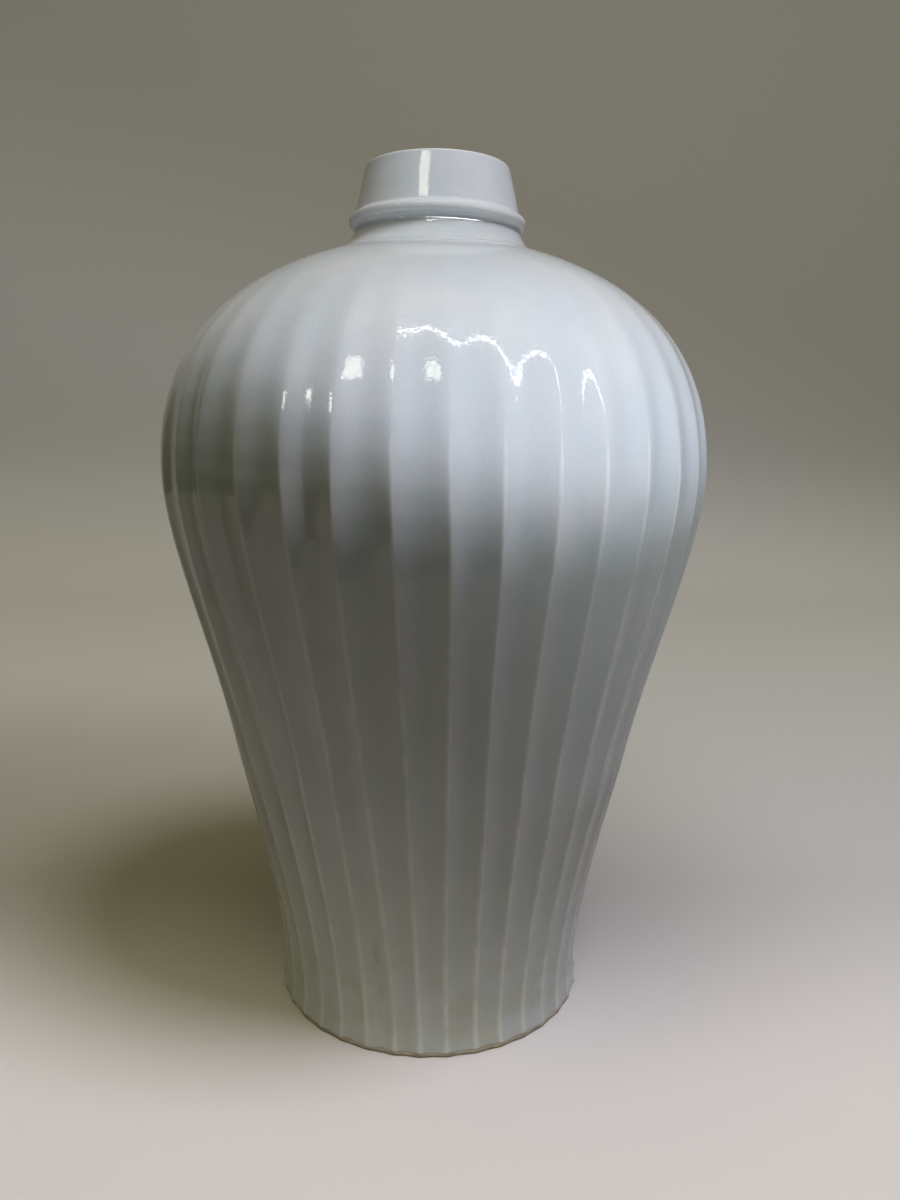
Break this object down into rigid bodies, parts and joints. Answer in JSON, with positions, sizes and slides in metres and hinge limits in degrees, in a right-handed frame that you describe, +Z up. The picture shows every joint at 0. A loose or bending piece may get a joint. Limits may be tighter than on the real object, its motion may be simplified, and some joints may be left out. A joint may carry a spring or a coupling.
{
  "type": "fluted porcelain vase",
  "caption": "Tall broad-shouldered vase with a narrow beaded collar mouth and shallow vertical flutes cut down to the foot, pale blue-white glaze.",
  "frame": {"origin": "centre of the foot, on the surface the vase stands on", "axes": "+Z up along the vase's axis; -Y is the side seen in the picture, and a viewer there has +X on the right"},
  "size_m": [0.2428, 0.243, 0.38],
  "materials": {
    "glaze": "glossy pale blue-white glaze",
    "bare_clay": "unglazed, matt"
  },
  "bodies": {
    "root": {"foot_ring": "bare_clay", "base_disc": "glaze", "lower_body": "glaze", "upper_body": "glaze", "neck": "glaze", "mouth_collar": "glaze"}
  },
  "joints": []
}
